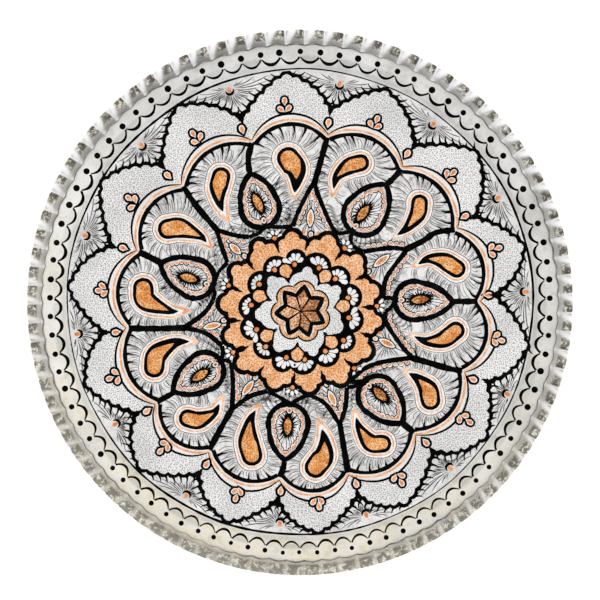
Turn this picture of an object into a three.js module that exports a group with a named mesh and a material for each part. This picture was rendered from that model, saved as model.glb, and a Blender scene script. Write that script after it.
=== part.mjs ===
// Round copper serving tray: a shallow dish with a crimped lip, a tin lining on its inside, and
// chased lines filled with black lacquer. Millimetres, +Z up, origin at the middle of the underside.
import * as THREE from 'three';

// Overall sizes
const trayDiameter = 300;
const trayHeight = 13;
const sheetThickness = 1;

// Sections of the dish, from the edge inwards: lip, turn-up, gentle wall, flat floor
const lipWidth = 6;
const lipRise = 2.3;
const turnUpWidth = 4;
const wallWidth = 10.5;
const wallRise = 4.2;
const crimpCount = 89;
const crimpDepth = 1.5; // height of the wave along the lip's edge
const crimpInset = 0.8; // how far each dip of the wave is pulled in

// Applied layers
const tinThickness = 0.25;
const lacquerHeight = 0.5;
const layerGap = 0.3; // side gap between neighbouring layers, and under the wall's lining

// Widths of the chased lines and of the scraped copper lines beside them
const fineLineWidth = 0.8;
const petalLineWidth = 2;
const thickLineWidth = 2.6;
const rosetteLineWidth = 2.4;
const fieldLineWidth = 1.6;
const dropLineWidth = 2;
const eyeLineWidth = 2.4;
const copperLineWidth = 1.1;
const whiteLineWidth = 2; // tin left between the copper line and the fine line round it

// Number of repeats, and where the pattern is centred and turned on the floor
const pairCount = 7;
const lobeCount = 2 * pairCount;
const patternTurn = THREE.MathUtils.degToRad(4.5);
const patternCentre = new THREE.Vector2(1, -4.8);

// Pattern radii as shares of the floor radius, as a maker steps them off with dividers
const petalTipShare = 0.966;
const petalValleyShare = 0.868;
const medallionPeakShare = 0.771;
const medallionValleyShare = 0.7;
const rosettePeakShare = 0.354;
const rosetteValleyShare = 0.29;
const scallopPeakShare = 0.255;
const scallopValleyShare = 0.228;
const fieldPeakShare = 0.197;
const fieldValleyShare = 0.142;
const starLobePeakShare = 0.131;
const starLobeValleyShare = 0.087;
const starTipShare = 0.1;
const starNotchShare = 0.052;
const eyeHeadShare = 0.46;
const eyeTipShare = 0.645;
const eyeRadiusShare = 0.074;
const lensHeadShare = 0.475;
const lensTipShare = 0.54;
const lensRadiusShare = 0.02;
const dropHeadShare = 0.66;
const dropTailShare = 0.5;
const dropRadiusShare = 0.043;
const dropHeadTurn = THREE.MathUtils.degToRad(11.8);
const dropTailTurn = THREE.MathUtils.degToRad(17.7);
const heartShare = 0.181;
const heartRadiusShare = 0.022;

// Smoothness of the curves
const pointsPerLobe = 5;
const pointsPerPetal = 7;
const pointsPerStarLobe = 5;
const pointsPerDrop = 8;

const trayRadius = trayDiameter / 2;
const lipRadius = trayRadius - lipWidth;
const turnUpRadius = lipRadius - turnUpWidth;
const floorRadius = turnUpRadius - wallWidth;
const turnUpRise = trayHeight - sheetThickness - wallRise - lipRise - crimpDepth / 2;
const tinTop = sheetThickness + tinThickness;
const lobeTurn = patternTurn + Math.PI / lobeCount; // a lobe's peak lies half a repeat from an eye
const starTurn = patternTurn + Math.PI / pairCount;

const tray = new THREE.Group();

function addMesh(name, geometry, colour, roughness, metalness) {
  const material = new THREE.MeshStandardMaterial({ color: colour, roughness, metalness });
  const mesh = new THREE.Mesh(geometry, material);
  mesh.name = name;
  tray.add(mesh);
  return mesh;
}

// Curves

function polarPoint(angle, radius) {
  return new THREE.Vector2(Math.cos(angle), Math.sin(angle)).multiplyScalar(radius).add(patternCentre);
}

function circlePoints(radius, count) {
  const points = [];
  for (let i = 0; i < count; i += 1) {
    const angle = (i * 2 * Math.PI) / count;
    points.push(new THREE.Vector2(radius * Math.cos(angle), radius * Math.sin(angle)));
  }
  return points;
}

// How far the circle of this radius round the tray's middle lies from the pattern's centre.
function reachToCircle(angle, radius) {
  const along = patternCentre.x * Math.cos(angle) + patternCentre.y * Math.sin(angle);
  return Math.sqrt(along * along - patternCentre.lengthSq() + radius * radius) - along;
}

// Round lobes that meet in sharp valleys. peak and valley are functions of the angle.
function lobedPoints({ count, turn, perLobe, peak, valley, grow = 0 }) {
  const points = [];
  const total = count * perLobe;
  for (let i = 0; i < total; i += 1) {
    const angle = turn + Math.PI / count + (i * 2 * Math.PI) / total;
    const swell = Math.abs(Math.cos((count * (angle - turn)) / 2));
    const low = valley(angle);
    points.push(polarPoint(angle, low + (peak(angle) - low) * swell + grow));
  }
  return points;
}

// A round head that narrows to a point.
function dropPoints(head, tip, radius) {
  const reach = tip.clone().sub(head);
  const tangent = Math.acos(radius / reach.length());
  const start = reach.angle() + tangent;
  const sweep = 2 * Math.PI - 2 * tangent;
  const points = [tip.clone()];
  for (let i = 0; i < pointsPerDrop; i += 1) {
    const angle = start + (sweep * i) / (pointsPerDrop - 1);
    points.push(new THREE.Vector2(head.x + radius * Math.cos(angle), head.y + radius * Math.sin(angle)));
  }
  return points;
}

// A closed counter-clockwise outline, moved outwards, or inwards where the distance is negative.
function offsetPoints(points, distance) {
  return points.map((point, i) => {
    const ahead = points[(i + 1) % points.length].clone().sub(points.at(i - 1)).normalize();
    return new THREE.Vector2(point.x + ahead.y * distance, point.y - ahead.x * distance);
  });
}

const constant = (share) => () => share * floorRadius;

function lobed(count, turn, perLobe, peakShare, valleyShare) {
  return (grow) =>
    lobedPoints({ count, turn, perLobe, peak: constant(peakShare), valley: constant(valleyShare), grow });
}

const medallion = lobed(lobeCount, lobeTurn, pointsPerLobe, medallionPeakShare, medallionValleyShare);
const rosette = lobed(lobeCount, lobeTurn, pointsPerLobe, rosettePeakShare, rosetteValleyShare);
const scallops = lobed(lobeCount, lobeTurn, pointsPerLobe, scallopPeakShare, scallopValleyShare);
const field = lobed(pairCount, starTurn, pointsPerStarLobe, fieldPeakShare, fieldValleyShare);
const starLobes = lobed(pairCount, starTurn, pointsPerStarLobe, starLobePeakShare, starLobeValleyShare);
const star = lobed(pairCount, starTurn, 2, starTipShare, starNotchShare);
const petals = (grow) =>
  lobedPoints({
    count: lobeCount,
    turn: lobeTurn,
    perLobe: pointsPerPetal,
    peak: (angle) => reachToCircle(angle, petalTipShare * floorRadius),
    valley: constant(petalValleyShare),
    grow,
  });

// Layers on the floor

function addLayer(name, outline, holes, bottom, height, look) {
  const shape = new THREE.Shape(outline);
  shape.holes = holes.map((points) => new THREE.Path(points));
  const geometry = new THREE.ExtrudeGeometry(shape, { depth: height, bevelEnabled: false });
  addMesh(name, geometry, look.colour, look.roughness, look.metalness).position.z = bottom;
}

const tinLook = { colour: 0xdcdcd8, roughness: 0.32, metalness: 1 };
const copperLook = { colour: 0xd98b52, roughness: 0.36, metalness: 1 };
const lacquerLook = { colour: 0x0b0a0a, roughness: 0.4, metalness: 0 };

// A lobed line of black lacquer, on the tin or on bare copper. path takes a growth in radius.
function addLobedLine(name, path, width, bottom) {
  const top = tinTop + lacquerHeight;
  addLayer(name, path(width / 2), [path(-width / 2)], bottom, top - bottom, lacquerLook);
}

function addDropLine(name, points, width, bottom) {
  const top = tinTop + lacquerHeight;
  const outer = offsetPoints(points, width / 2);
  const inner = offsetPoints(points, -width / 2);
  addLayer(name, outer, [inner], bottom, top - bottom, lacquerLook);
}

// The dish

// Underside of the sheet from the middle to the edge, as radius and height.
const undersideProfile = [
  new THREE.Vector2(0, 0),
  new THREE.Vector2(floorRadius, 0),
  new THREE.Vector2(turnUpRadius, wallRise),
  new THREE.Vector2(lipRadius, wallRise + turnUpRise),
  new THREE.Vector2(trayRadius, wallRise + turnUpRise + lipRise),
];

// The same profile moved along its own normals, with mitred corners and the two ends square.
function raisedProfile(profile, distance) {
  return profile.map((point, i) => {
    const before = profile[Math.max(i - 1, 0)];
    const after = profile[Math.min(i + 1, profile.length - 1)];
    const arriving = point.clone().sub(before).normalize();
    const leaving = after.clone().sub(point).normalize();
    if (i === 0) arriving.copy(leaving);
    if (i === profile.length - 1) leaving.copy(arriving);
    const normal = new THREE.Vector2(-arriving.y - leaving.y, arriving.x + leaving.x).normalize();
    const mitre = distance / (normal.y * leaving.x - normal.x * leaving.y);
    return point.clone().addScaledVector(normal, mitre);
  });
}

function addCopperSheet() {
  const topProfile = raisedProfile(undersideProfile, sheetThickness);
  const edge = topProfile.at(-1);
  edge.set(trayRadius, undersideProfile.at(-1).y + sheetThickness);
  const profile = [...undersideProfile, ...topProfile.reverse()];
  const segments = 2 * crimpCount; // one step to each crest and one to each dip
  const geometry = new THREE.LatheGeometry(profile, segments);
  geometry.rotateX(Math.PI / 2);
  const position = geometry.attributes.position;
  for (let i = 0; i < position.count; i += 1) {
    const radius = Math.hypot(position.getX(i), position.getY(i));
    if (radius <= lipRadius) continue;
    const isDip = Math.floor(i / profile.length) % 2 === 1;
    const share = (radius - lipRadius) / lipWidth; // none at the turn-up, all at the edge
    const shrink = isDip ? 1 - (crimpInset * share) / radius : 1;
    const wave = (isDip ? -1 : 1) * (crimpDepth / 2) * share;
    position.setXYZ(i, position.getX(i) * shrink, position.getY(i) * shrink, position.getZ(i) + wave);
  }
  geometry.computeVertexNormals();
  addMesh('copper_sheet', geometry, copperLook.colour, copperLook.roughness, copperLook.metalness);
}

// The tin on the wall and turn-up, one closed ring that follows the sheet's inner face.
function addWallLining() {
  const wallEnd = lipRadius - layerGap;
  const face = raisedProfile(undersideProfile, sheetThickness + layerGap).slice(1, 4);
  const back = raisedProfile(undersideProfile, sheetThickness + layerGap + tinThickness).slice(1, 4);
  face[0].x = Math.max(face[0].x, floorRadius);
  back[0].x = face[0].x;
  face[2].x = Math.min(face[2].x, wallEnd);
  back[2].x = face[2].x;
  const geometry = new THREE.LatheGeometry([...face, ...back.reverse(), face[0]], crimpCount);
  geometry.rotateX(Math.PI / 2);
  addMesh('tin_wall_lining', geometry, tinLook.colour, tinLook.roughness, tinLook.metalness);
}

// Outlines of the repeated motifs

const eyeOutlines = [];
const lensOutlines = [];
const heartOutlines = [];
const dropOutlines = [];
for (let i = 0; i < pairCount; i += 1) {
  const angle = patternTurn + (i * 2 * Math.PI) / pairCount;
  const at = (share, turn = 0) => polarPoint(angle + turn, share * floorRadius);
  eyeOutlines.push(dropPoints(at(eyeHeadShare), at(eyeTipShare), eyeRadiusShare * floorRadius));
  lensOutlines.push(dropPoints(at(lensHeadShare), at(lensTipShare), lensRadiusShare * floorRadius));
  heartOutlines.push(dropPoints(at(heartShare), at(fieldValleyShare), heartRadiusShare * floorRadius));
  for (const side of [1, -1]) {
    const head = at(dropHeadShare, side * dropHeadTurn);
    const tail = at(dropTailShare, side * dropTailTurn);
    dropOutlines.push(dropPoints(head, tail, dropRadiusShare * floorRadius));
  }
}

addCopperSheet();
addWallLining();

// Tin on the floor, with windows where the copper was scraped bare
const edgeLineRadius = floorRadius - fineLineWidth;
const petalFieldEdge = edgeLineRadius - fineLineWidth / 2 - layerGap;
const medallionCopperEdge = thickLineWidth / 2 + copperLineWidth;
const dropWindow = dropLineWidth / 2 + copperLineWidth;
addLayer('tin_petal_lining', circlePoints(petalFieldEdge, crimpCount), [medallion(medallionCopperEdge)],
  sheetThickness, tinThickness, tinLook);
addLayer('tin_paisley_lining', medallion(-thickLineWidth / 2 - layerGap), [
  rosette(rosetteLineWidth / 2 + layerGap),
  ...dropOutlines.map((points) => offsetPoints(points, dropWindow)),
  ...lensOutlines,
], sheetThickness, tinThickness, tinLook);
addLayer('tin_rosette_lining', scallops(-rosetteLineWidth / 2 - layerGap), [
  starLobes(0),
  ...heartOutlines,
], sheetThickness, tinThickness, tinLook);

// Black lines that lie on the tin
const fineMedallion = (grow) =>
  medallion(medallionCopperEdge + whiteLineWidth + fineLineWidth / 2 + grow);
const fineStar = (grow) => starLobes(fineLineWidth + grow);
addLobedLine('lacquer_petal_border', petals, petalLineWidth, tinTop);
addLobedLine('lacquer_medallion_fine_line', fineMedallion, fineLineWidth, tinTop);
addLobedLine('lacquer_field_line', field, fieldLineWidth, tinTop);
addLobedLine('lacquer_star_fine_line', fineStar, fineLineWidth, tinTop);
eyeOutlines.forEach((points, i) => {
  addDropLine(`lacquer_eye_outline_${i + 1}`, points, eyeLineWidth, tinTop);
});

// Black lines that lie on bare copper
const edgeLine = (grow) => circlePoints(edgeLineRadius + grow, crimpCount);
addLobedLine('lacquer_floor_edge_line', edgeLine, fineLineWidth, sheetThickness);
addLobedLine('lacquer_medallion_line', medallion, thickLineWidth, sheetThickness);
addLobedLine('lacquer_rosette_outer_line', rosette, rosetteLineWidth, sheetThickness);
addLobedLine('lacquer_rosette_scallop_line', scallops, rosetteLineWidth, sheetThickness);
addLobedLine('lacquer_star_outline', star, fieldLineWidth, sheetThickness);
dropOutlines.forEach((points, i) => {
  addDropLine(`lacquer_paisley_outline_${i + 1}`, points, dropLineWidth, sheetThickness);
});

export default tray;
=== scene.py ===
import math
import random

import bmesh
import bpy
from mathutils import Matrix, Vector


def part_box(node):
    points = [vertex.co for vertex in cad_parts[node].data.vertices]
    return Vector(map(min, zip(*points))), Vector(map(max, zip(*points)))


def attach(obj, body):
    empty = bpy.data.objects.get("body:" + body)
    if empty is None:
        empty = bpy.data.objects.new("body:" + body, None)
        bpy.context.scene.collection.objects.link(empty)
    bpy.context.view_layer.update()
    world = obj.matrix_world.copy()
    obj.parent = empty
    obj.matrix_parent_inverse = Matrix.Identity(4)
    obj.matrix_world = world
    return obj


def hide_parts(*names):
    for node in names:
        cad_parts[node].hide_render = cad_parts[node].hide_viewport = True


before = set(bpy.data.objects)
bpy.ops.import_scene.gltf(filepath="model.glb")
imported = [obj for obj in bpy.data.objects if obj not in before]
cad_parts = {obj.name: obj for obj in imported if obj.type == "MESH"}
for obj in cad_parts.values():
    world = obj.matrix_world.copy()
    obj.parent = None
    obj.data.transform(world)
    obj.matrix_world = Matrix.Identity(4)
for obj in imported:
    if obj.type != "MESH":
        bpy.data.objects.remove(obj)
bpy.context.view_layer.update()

mm = 0.001
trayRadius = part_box("copper_sheet")[1].x / mm
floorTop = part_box("tin_petal_lining")[1].z / mm
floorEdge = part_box("lacquer_floor_edge_line")[1].x / mm
chance = random.Random(1907)


# shader maths

class Num:
    def __init__(self, finish, socket):
        self.finish = finish
        self.socket = socket

    def maths(self, operation, *values):
        inputs = dict(enumerate(values))
        return self.finish.node("ShaderNodeMath", {"operation": operation}, inputs)

    def __add__(self, other):
        return self.maths("ADD", self, other)

    def __sub__(self, other):
        return self.maths("SUBTRACT", self, other)

    def __rsub__(self, other):
        return self.maths("SUBTRACT", other, self)

    def __mul__(self, other):
        return self.maths("MULTIPLY", self, other)

    __radd__ = __add__
    __rmul__ = __mul__

    def between(self, low, high):   # 0 below low, 1 above high, smooth in between
        settings = {"interpolation_type": "SMOOTHSTEP"}
        return self.finish.node("ShaderNodeMapRange", settings, {0: self, 1: low, 2: high})


class Finish:
    def __init__(self, name):
        self.material = bpy.data.materials.new(name)
        self.material.use_nodes = True
        self.tree = self.material.node_tree
        self.tree.nodes.clear()
        self.place = self.node("ShaderNodeTexCoord", output="Object")

    def node(self, kind, settings={}, inputs={}, output=0):
        made = self.tree.nodes.new(kind)
        for key, value in settings.items():
            setattr(made, key, value)
        for key, value in inputs.items():
            if isinstance(value, Num):
                self.tree.links.new(value.socket, made.inputs[key])
            else:
                made.inputs[key].default_value = value
        return Num(self, made.outputs[output]) if made.outputs else made

    def noise(self, scale, detail=3, roughness=0.5, place=None):
        inputs = {"Vector": place or self.place, "Scale": scale, "Detail": detail, "Roughness": roughness}
        return self.node("ShaderNodeTexNoise", {}, inputs)

    def cells(self, scale, randomness=1.0, feature="F1", output=0):
        settings = {"voronoi_dimensions": "2D", "feature": feature}
        inputs = {"Vector": self.place, "Scale": scale, "Randomness": randomness}
        return self.node("ShaderNodeTexVoronoi", settings, inputs, output)

    def mark(self, name):   # a number painted on the piece's points
        return self.node("ShaderNodeAttribute", {"attribute_name": name}, output=2)

    def mix(self, share, low, high):
        low = low if isinstance(low, Num) else (*low, 1)
        high = high if isinstance(high, Num) else (*high, 1)
        return self.node("ShaderNodeMix", {"data_type": "RGBA"}, {0: share, 6: low, 7: high}, 2)

    def bump(self, height, distance, strength=1.0):
        inputs = {"Height": height, "Distance": distance, "Strength": strength}
        return self.node("ShaderNodeBump", {}, inputs)

    def surface(self, **inputs):
        named = {key.replace("_", " "): value for key, value in inputs.items()}
        shader = self.node("ShaderNodeBsdfPrincipled", {}, named)
        self.node("ShaderNodeOutputMaterial", {}, {0: shader})
        return self.material


# paths on the floor, in millimetres from the tray's middle

def vec(point):
    return Vector(point)


def onCircle(turn, radius, middle=(0, 0)):
    angle = math.radians(turn)
    return Vector((middle[0] + radius * math.cos(angle), middle[1] + radius * math.sin(angle)))


def leftOf(way):
    return Vector((-way.y, way.x))


def turned(way, angle):
    return way * math.cos(angle) + leftOf(way) * math.sin(angle)


def bowAround(middle, ahead, radius, half, steps):   # reaches half degrees to either side of ahead
    turns = [math.radians(half * (2 * i / steps - 1)) for i in range(steps + 1)]
    return [middle + turned(ahead, turn) * radius for turn in turns]


def facing(angle, turn):   # 1 on the side at that turn, 0 on the far side
    return 0.5 + 0.5 * math.cos(angle - math.radians(turn))


def nearBottom(angle):   # 1 at the bottom edge, 0 over the whole upper half
    return max(0.0, -math.sin(angle))


def arc(start, end, bulge, steps):   # stands out by bulge on the right of the way from start to end
    ahead = (end - start).normalized()
    out = Vector((ahead.y, -ahead.x))
    middle = (start + end) / 2
    half = (end - start).length / 2
    if abs(bulge) < 0.01:
        return [start.lerp(end, i / steps) for i in range(steps + 1)]
    radius = (half * half + bulge * bulge) / (2 * bulge)
    opening = math.asin(min(half / abs(radius), 1))
    points = []
    for i in range(steps + 1):
        turn = opening * (2 * i / steps - 1)
        along = abs(radius) * math.sin(turn)
        points.append(middle + ahead * along + out * (radius * math.cos(turn) - radius + bulge))
    return points


def arcChain(corners, bulges, steps=6):
    path = [corners[0]]
    for start, end, bulge in zip(corners, corners[1:], bulges):
        path += arc(start, end, bulge, steps)[1:]
    return path


def smoothPath(points, steps=6):
    points = [vec(p) for p in points]
    spread = [points[0] * 2 - points[1], *points, points[-1] * 2 - points[-2]]
    path = []
    for a, b, c, d in zip(spread, spread[1:], spread[2:], spread[3:]):
        for i in range(steps):
            t = i / steps
            bend = (2 * a - 5 * b + 4 * c - d) * t * t + (3 * b - a - 3 * c + d) * t ** 3
            path.append(0.5 * (2 * b + (c - a) * t + bend))
    return path + [points[-1]]


def evenPath(path, step):
    lengths = [0]
    for a, b in zip(path, path[1:]):
        lengths.append(lengths[-1] + (b - a).length)
    count = max(2, round(lengths[-1] / step))
    even = []
    i = 0
    for k in range(count + 1):
        want = lengths[-1] * k / count
        while i < len(path) - 2 and lengths[i + 1] < want:
            i += 1
        span = lengths[i + 1] - lengths[i]
        even.append(path[i].lerp(path[i + 1], (want - lengths[i]) / span if span else 0))
    return even


def sidewaysOf(path):   # normals on the left of the way, mitred at the corners
    closed = (path[0] - path[-1]).length < 1e-6
    runs = [(b - a).normalized() for a, b in zip(path, path[1:])]
    sideways = []
    for i in range(len(path)):
        before = runs[i - 1] if i else (runs[-1] if closed else runs[0])
        after = runs[i] if i < len(runs) else (runs[0] if closed else runs[-1])
        share = max(1 + before.dot(after), 0.7)
        ahead = (before + after) / share
        sideways.append(leftOf(ahead))
    return sideways


def movedPath(path, distance):   # to the right of the way: outwards on a counter-clockwise loop
    return [p - side * distance for p, side in zip(path, sidewaysOf(path))]


def wobbled(path, amount):
    return [p + Vector((chance.uniform(-amount, amount), chance.uniform(-amount, amount))) for p in path]


# solids

footDepth = 0.05
commaShape = {"belly": 0.12, "taper": 1.35}
domed = [(1, 0), (0, 1), (-1, 0), (0, -1)]
flat = [(1, 0), (0.9, 1), (-0.9, 1), (-1, 0), (0, -1)]


def bead(bm, path, halfWidths, lift, rise, section=domed):
    # a closed strip with a foot and a raised top: a grid wrapped round the path
    if not hasattr(halfWidths, "__len__"):
        halfWidths = [halfWidths] * len(path)
    sideways = sidewaysOf(path)
    if (path[0] - path[-1]).length > 1e-6:   # close the ends
        path = [path[0], *path, path[-1]]
        halfWidths = [0, *halfWidths, 0]
        sideways = [sideways[0], *sideways, sideways[-1]]
    count = len(path) - 1
    grid = bmesh.ops.create_grid(bm, x_segments=count, y_segments=len(section), size=1)
    for vert in grid["verts"]:
        i = round((vert.co.x + 1) / 2 * count)
        across, up = section[round((vert.co.y + 1) / 2 * len(section)) % len(section)]
        spot = path[i] + sideways[i] * halfWidths[i] * across
        crown = up * (rise if up > 0 else footDepth) * min(1, halfWidths[i] / 0.4)
        vert.co = (spot.x, spot.y, lift(spot) + crown)


def plate(bm, outline, lift, thickness=0.1):
    if (outline[0] - outline[-1]).length < 1e-6:
        outline = outline[:-1]
    verts = [bm.verts.new((p.x, p.y, lift(p) - thickness)) for p in outline]
    face = bmesh.ops.contextual_create(bm, geom=verts)["faces"]
    raised = bmesh.ops.extrude_face_region(bm, geom=face)["geom"]
    raised = [v for v in raised if isinstance(v, bmesh.types.BMVert)]
    bmesh.ops.translate(bm, verts=raised, vec=(0, 0, thickness))


def tapered(count, widest, start=0.0, end=0.0, power=0.7):
    # half widths along a stroke: start and end as shares of the widest, full in the middle
    widths = []
    for i in range(count):
        t = i / (count - 1)
        swell = math.sin(math.pi * t) ** power
        widths.append(widest * max(swell, start * (1 - t), end * t))
    return widths


def tick(bm, root, tip, halfWidth, lift, bend=0.0, rise=0.1, steps=4):
    # a chisel stroke: wide at its root and pointed at its tip
    path = arc(root, tip, bend, steps)
    widths = [halfWidth * (1 - i / steps) ** 0.6 for i in range(steps + 1)]
    bead(bm, path, widths, lift, rise)


def lens(bm, start, end, halfWidth, lift, rise=0.06, bend=0.0, section=domed, steps=8):
    path = arc(start, end, bend, steps)
    bead(bm, path, tapered(steps + 1, halfWidth, power=0.7), lift, rise, section)


def comma(bm, spine, radius, growth, lift, rise=0.04, section=flat, steps=26):
    # a round head that narrows along a bent spine; growth widens it all round
    spine = evenPath(smoothPath(spine), 0.5)
    length = 0.5 * (len(spine) - 1)
    full = radius + growth
    back = (spine[0] - spine[1]).normalized()
    path = []
    widths = []
    for i in range(steps + 1):
        along = -full + (length + full) * (i / steps) ** 1.15
        if along < 0:
            path.append(spine[0] - back * along)
        else:
            place = along / length * (len(spine) - 1)
            k = min(int(place), len(spine) - 2)
            path.append(spine[k].lerp(spine[k + 1], place - k))
        t = min(max(along / length, 0), 1)
        belly = 1 + commaShape["belly"] * math.sin(math.pi * min(1, t * 1.5))
        thin = min(1, commaShape["taper"] * (1 - t) ** 0.8)
        width = radius * belly * thin + growth * max(1 - t, 0) ** 0.6
        if along < 0:
            width = math.sqrt(max(full * full - along * along, 0))
        widths.append(width)
    bead(bm, path, widths, lift, rise, section)
    return path, widths


def disc(bm, spot, radius, lift, rise=0.1, segments=12, stretch=1.0, turn=0.0):
    made = bmesh.ops.create_cone(bm, cap_ends=True, segments=segments, radius1=1, radius2=0.7, depth=2)
    for vert in made["verts"]:
        around = Vector((vert.co.x * radius * stretch, vert.co.y * radius))
        place = spot + turned(around, turn)
        vert.co = (place.x, place.y, lift(place) + (rise if vert.co.z > 0 else -footDepth))


def insideLoop(place, loop):
    inside = False
    for a, b in zip(loop, loop[1:] + loop[:1]):
        if (a.y > place.y) != (b.y > place.y):
            if place.x < a.x + (place.y - a.y) / (b.y - a.y) * (b.x - a.x):
                inside = not inside
    return inside


def newMeshes(count):
    return [bmesh.new() for i in range(count)]


def closeTo(paths, place, far):   # the pieces of the paths near a place
    runs = [(a, b) for path in paths for a, b in zip(path, path[1:])]
    return [run for run in runs if (run[0] - place).length < far]


def reach(origin, direction, barriers, most):   # how far it is to the first line in the way
    nearest = most
    for path in barriers:
        for a, b in zip(path, path[1:]):
            side = b - a
            turn = direction.x * side.y - direction.y * side.x
            if abs(turn) < 1e-9:
                continue
            gap = a - origin
            far = (gap.x * side.y - gap.y * side.x) / turn
            share = (gap.x * direction.y - gap.y * direction.x) / turn
            if 0 <= share <= 1 and 0 < far < nearest:
                nearest = far
    return nearest


def addPiece(name, bm, material, replaces=(), smooth=True):
    bmesh.ops.remove_doubles(bm, verts=bm.verts, dist=0.0005)
    bmesh.ops.dissolve_degenerate(bm, dist=0.0001, edges=bm.edges)
    bmesh.ops.recalc_face_normals(bm, faces=bm.faces)
    for edge in bm.edges:
        if len(edge.link_faces) == 2 and edge.calc_face_angle(0) > 0.9:
            edge.smooth = False
    bmesh.ops.scale(bm, vec=(mm, mm, mm), verts=bm.verts)
    mesh = bpy.data.meshes.new(name)
    bm.to_mesh(mesh)
    bm.free()
    mesh.materials.append(material)
    for face in mesh.polygons:
        face.use_smooth = smooth
    piece = bpy.data.objects.new(name, mesh)
    bpy.context.scene.collection.objects.link(piece)
    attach(piece, "root")
    if replaces:
        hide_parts(*replaces)


# finishes

def tinFinish():
    f = Finish("wipedTin")
    stipple = f.mark("stipple")
    chased = f.mark("chased")
    shade = f.mark("shade")
    cloud = f.noise(30, 5, 0.6)
    grain = f.noise(800, 4, 0.75)
    streak = f.noise(210, 5, 0.75)
    dust = f.noise(420, 3, 0.8)
    punch = 1 - f.cells(940, 0.8).between(0.10, 0.36)
    colour = f.mix(cloud.between(0.35, 0.7), (0.88, 0.87, 0.85), (0.74, 0.735, 0.715))
    colour = f.mix(grain.between(0.5, 0.78) * 0.4, colour, (0.36, 0.36, 0.35))
    colour = f.mix(chased * streak.between(0.42, 0.66) * 0.6, colour, (0.36, 0.355, 0.34))
    colour = f.mix(chased * dust.between(0.55, 0.72) * 0.6, colour, (0.16, 0.16, 0.155))
    colour = f.mix(shade, colour, (0.2, 0.195, 0.185))
    colour = f.mix(punch * stipple * 0.85, colour, (0.10, 0.10, 0.10))
    height = grain * 0.05 + streak * 0.1 + chased * dust * 0.15 - punch * stipple * 0.45
    rough = 0.34 + cloud * 0.14 + grain * 0.1
    return f.surface(Base_Color=colour, Metallic=1.0, Roughness=rough,
                     Normal=f.bump(height, 0.0003, 0.6))


def wallTinFinish():
    f = Finish("wallTin")
    shade = f.mark("shade")
    wearAndShade = f.mark("wearAndShade")
    warmReflection = f.mark("warmReflection")
    shine = f.mark("shine")
    cloud = f.noise(45, 5, 0.6)
    grain = f.noise(800, 4, 0.75)
    streak = f.noise(150, 5, 0.7)
    mottle = f.noise(330, 4, 0.8)
    specks = f.noise(950, 2, 0.9)
    colour = f.mix(cloud.between(0.35, 0.65), (0.92, 0.92, 0.91), (0.72, 0.72, 0.705))
    patch = f.noise(110, 3, 0.6)
    # a painted warm reflection in patches, set strongest towards the bottom by the marks
    colour = f.mix(warmReflection * (patch.between(0.35, 0.65) * 0.9 + 0.55), colour, (0.92, 0.84, 0.64))
    colour = f.mix(patch.between(0.56, 0.7) * 0.35, colour, (0.50, 0.50, 0.48))
    colour = f.mix(specks.between(0.56, 0.72) * 0.4, colour, (0.34, 0.335, 0.31))
    colour = f.mix(streak.between(0.56, 0.7) * 0.3, colour, (0.52, 0.51, 0.47))
    colour = f.mix(grain.between(0.55, 0.8) * 0.25, colour, (0.42, 0.42, 0.40))
    colour = f.mix(shade * (streak * 0.5 + 0.75), colour, (0.17, 0.17, 0.165))
    # mottled wear on the lip's outer part, together with painted shade across each crimp's block and along
    # the bottom edge
    wornAndShaded = f.mix(mottle.between(0.38, 0.52), (0.84, 0.80, 0.69), (0.07, 0.065, 0.045))
    colour = f.mix(wearAndShade, colour, wornAndShaded)
    colour = f.mix(shine, colour, (1.0, 1.0, 1.0))
    hammer = f.cells(60, 0.9, "SMOOTH_F1")
    height = grain * 0.05 + streak * 0.1 + hammer * 0.5
    rough = 0.30 + cloud * 0.14 + grain * 0.1
    return f.surface(Base_Color=colour, Metallic=1.0, Roughness=rough,
                     Normal=f.bump(height, 0.0003, 0.5))


def stippledTinFinish():   # the white field of the rosette
    f = Finish("stippledTin")
    grain = f.noise(800, 3, 0.7)
    punch = 1 - f.cells(940, 0.8).between(0.10, 0.34)
    colour = f.mix(f.noise(60, 3).between(0.4, 0.65), (0.86, 0.855, 0.84), (0.74, 0.74, 0.73))
    colour = f.mix(punch * 0.8, colour, (0.12, 0.12, 0.12))
    colour = f.mix(grain.between(0.5, 0.75) * 0.4, colour, (0.34, 0.34, 0.34))
    return f.surface(Base_Color=colour, Metallic=1.0, Roughness=0.38 + grain * 0.12,
                     Normal=f.bump(grain * 0.1 - punch * 0.5, 0.00025, 0.6))


def plainTinFinish():   # raised leaves and rims
    f = Finish("raisedTin")
    grain = f.noise(600, 4, 0.7)
    colour = f.mix(grain.between(0.4, 0.7), (0.93, 0.925, 0.91), (0.60, 0.595, 0.58))
    return f.surface(Base_Color=colour, Metallic=1.0, Roughness=0.34 + grain * 0.15,
                     Normal=f.bump(grain, 0.0001, 0.5))


def copperFinish(name, bright, dark, speckle, punches, depth):
    f = Finish(name)
    cloud = f.noise(170, 5, 0.65)
    grain = f.noise(1000, 3, 0.7)
    patches = f.noise(260, 4, 0.7).between(0.45, 0.62)
    colour = f.mix(cloud.between(0.38, 0.62), bright, dark)
    punch = 1 - f.cells(punches, 0.85).between(0.16, 0.44)
    colour = f.mix(punch * (patches * 0.35 + 0.65) * depth, colour, speckle)
    colour = f.mix(grain.between(0.48, 0.66) * 0.6 * depth, colour, speckle)
    return f.surface(Base_Color=colour, Metallic=1.0, Roughness=0.36 + grain * 0.16,
                     Normal=f.bump(grain * 0.15 - punch * 0.5, 0.0002, 0.6))


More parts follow.
